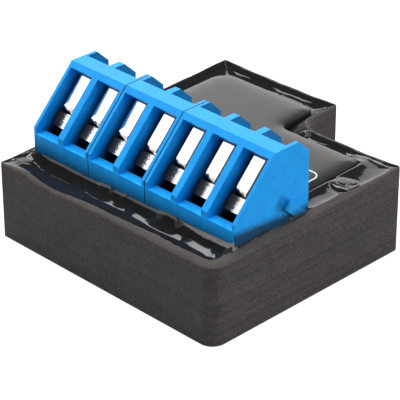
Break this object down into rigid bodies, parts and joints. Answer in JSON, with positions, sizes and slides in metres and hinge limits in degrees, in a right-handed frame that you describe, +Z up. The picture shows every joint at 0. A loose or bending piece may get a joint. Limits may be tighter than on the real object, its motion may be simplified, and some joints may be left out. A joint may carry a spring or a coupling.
{
  "type": "smart relay module",
  "caption": "Potted in-wall relay module: stepped dark case, glossy resin top with a label plate, and a raised blue screw terminal strip with sloped wire openings.",
  "frame": {"origin": "centre of the bounding box of the flat underside", "axes": "+X along the terminal strip, +Y from the wire side to the rear arm, +Z up out of the resin"},
  "size_m": [0.0374, 0.0396, 0.0211],
  "materials": {
    "case_plastic": "dark grey, matt, finely speckled",
    "potting_compound": "glossy cast resin",
    "label_film": "satin",
    "terminal_plastic": "satin moulded blue",
    "zinc_steel": "zinc plated",
    "nickel_steel": "nickel plated",
    "tinned_copper": "bright tin plating",
    "board_laminate": "solder mask",
    "relay_plastic": "moulded",
    "copper_winding": "enamelled copper wire",
    "soft_iron": "nickel plated soft iron",
    "can_aluminium": "sleeved can",
    "can_steel": "satin",
    "chip_plastic": "moulded",
    "component_ceramic": "glazed"
  },
  "bodies": {
    "module": {"case": "case_plastic", "circuit_board": "board_laminate", "potting_fill": "potting_compound", "potting_top": "potting_compound", "label_plate": "label_film", "terminal_block_left": "terminal_plastic", "terminal_block_middle": "terminal_plastic", "terminal_block_right": "terminal_plastic", "contact_bar_1": "tinned_copper", "contact_bar_2": "tinned_copper", "contact_bar_3": "tinned_copper", "contact_bar_4": "tinned_copper", "contact_bar_5": "tinned_copper", "contact_bar_6": "tinned_copper", "contact_bar_7": "tinned_copper", "relay_1_cover": "relay_plastic", "relay_1_base": "relay_plastic", "relay_1_coil": "copper_winding", "relay_1_yoke": "soft_iron", "relay_1_contacts": "tinned_copper", "relay_1_pins": "tinned_copper", "relay_2_cover": "relay_plastic", "relay_2_base": "relay_plastic", "relay_2_coil": "copper_winding", "relay_2_yoke": "soft_iron", "relay_2_contacts": "tinned_copper", "relay_2_pins": "tinned_copper", "smoothing_capacitor": "can_aluminium", "power_choke": "copper_winding", "varistor": "component_ceramic", "fusible_resistor": "component_ceramic", "rectifier_bridge": "chip_plastic", "converter_chip": "chip_plastic", "input_optocouplers": "chip_plastic", "radio_chip": "chip_plastic", "radio_crystal": "can_steel", "memory_chip": "chip_plastic", "chip_antenna": "component_ceramic", "voltage_regulator": "chip_plastic", "relay_transistors": "chip_plastic", "coil_diodes": "chip_plastic", "ceramic_capacitors": "component_ceramic"},
    "screw_1": {"clamp_screw_1": "zinc_steel"},
    "cage_1": {"clamp_cage_1": "nickel_steel"},
    "screw_2": {"clamp_screw_2": "zinc_steel"},
    "cage_2": {"clamp_cage_2": "nickel_steel"},
    "screw_3": {"clamp_screw_3": "zinc_steel"},
    "cage_3": {"clamp_cage_3": "nickel_steel"},
    "screw_4": {"clamp_screw_4": "zinc_steel"},
    "cage_4": {"clamp_cage_4": "nickel_steel"},
    "screw_5": {"clamp_screw_5": "zinc_steel"},
    "cage_5": {"clamp_cage_5": "nickel_steel"},
    "screw_6": {"clamp_screw_6": "zinc_steel"},
    "cage_6": {"clamp_cage_6": "nickel_steel"},
    "screw_7": {"clamp_screw_7": "zinc_steel"},
    "cage_7": {"clamp_cage_7": "nickel_steel"},
    "armature_1": {"relay_1_armature": "soft_iron"},
    "armature_2": {"relay_2_armature": "soft_iron"}
  },
  "joints": [
    {"name": "screw_1_turn", "type": "hinge", "parent": "module", "child": "screw_1", "pos_m": [-0.015, -0.00599, 0.01859], "axis": [0, 0.6884, 0.7254], "range_deg": [0, 1440]},
    {"name": "cage_1_travel", "type": "slide", "parent": "module", "child": "cage_1", "axis": [0, 0.6884, 0.7254], "range_m": [-0.0018, 0]},
    {"name": "screw_2_turn", "type": "hinge", "parent": "module", "child": "screw_2", "pos_m": [-0.01, -0.00599, 0.01859], "axis": [0, 0.6884, 0.7254], "range_deg": [0, 1440]},
    {"name": "cage_2_travel", "type": "slide", "parent": "module", "child": "cage_2", "axis": [0, 0.6884, 0.7254], "range_m": [-0.0018, 0]},
    {"name": "screw_3_turn", "type": "hinge", "parent": "module", "child": "screw_3", "pos_m": [-0.005, -0.00599, 0.01859], "axis": [0, 0.6884, 0.7254], "range_deg": [0, 1440]},
    {"name": "cage_3_travel", "type": "slide", "parent": "module", "child": "cage_3", "axis": [0, 0.6884, 0.7254], "range_m": [-0.0018, 0]},
    {"name": "screw_4_turn", "type": "hinge", "parent": "module", "child": "screw_4", "pos_m": [0, -0.00599, 0.01859], "axis": [0, 0.6884, 0.7254], "range_deg": [0, 1440]},
    {"name": "cage_4_travel", "type": "slide", "parent": "module", "child": "cage_4", "axis": [0, 0.6884, 0.7254], "range_m": [-0.0018, 0]},
    {"name": "screw_5_turn", "type": "hinge", "parent": "module", "child": "screw_5", "pos_m": [0.005, -0.00599, 0.01859], "axis": [0, 0.6884, 0.7254], "range_deg": [0, 1440]},
    {"name": "cage_5_travel", "type": "slide", "parent": "module", "child": "cage_5", "axis": [0, 0.6884, 0.7254], "range_m": [-0.0018, 0]},
    {"name": "screw_6_turn", "type": "hinge", "parent": "module", "child": "screw_6", "pos_m": [0.01, -0.00599, 0.01859], "axis": [0, 0.6884, 0.7254], "range_deg": [0, 1440]},
    {"name": "cage_6_travel", "type": "slide", "parent": "module", "child": "cage_6", "axis": [0, 0.6884, 0.7254], "range_m": [-0.0018, 0]},
    {"name": "screw_7_turn", "type": "hinge", "parent": "module", "child": "screw_7", "pos_m": [0.015, -0.00599, 0.01859], "axis": [0, 0.6884, 0.7254], "range_deg": [0, 1440]},
    {"name": "cage_7_travel", "type": "slide", "parent": "module", "child": "cage_7", "axis": [0, 0.6884, 0.7254], "range_m": [-0.0018, 0]},
    {"name": "relay_1_armature_swing", "type": "hinge", "parent": "module", "child": "armature_1", "pos_m": [-0.0162, -0.00258, 0.00485], "axis": [0, 0, 1], "range_deg": [0, 3.6], "stiffness_Nm_per_rad": 0.002},
    {"name": "relay_2_armature_swing", "type": "hinge", "parent": "module", "child": "armature_2", "pos_m": [-0.0033, -0.00258, 0.00485], "axis": [0, 0, 1], "range_deg": [0, 3.6], "stiffness_Nm_per_rad": 0.002}
  ],
  "couplings": [
    {"joint": "screw_1_turn", "follows": "cage_1_travel", "rad_per_m": -13963},
    {"joint": "screw_2_turn", "follows": "cage_2_travel", "rad_per_m": -13963},
    {"joint": "screw_3_turn", "follows": "cage_3_travel", "rad_per_m": -13963},
    {"joint": "screw_4_turn", "follows": "cage_4_travel", "rad_per_m": -13963},
    {"joint": "screw_5_turn", "follows": "cage_5_travel", "rad_per_m": -13963},
    {"joint": "screw_6_turn", "follows": "cage_6_travel", "rad_per_m": -13963},
    {"joint": "screw_7_turn", "follows": "cage_7_travel", "rad_per_m": -13963}
  ]
}
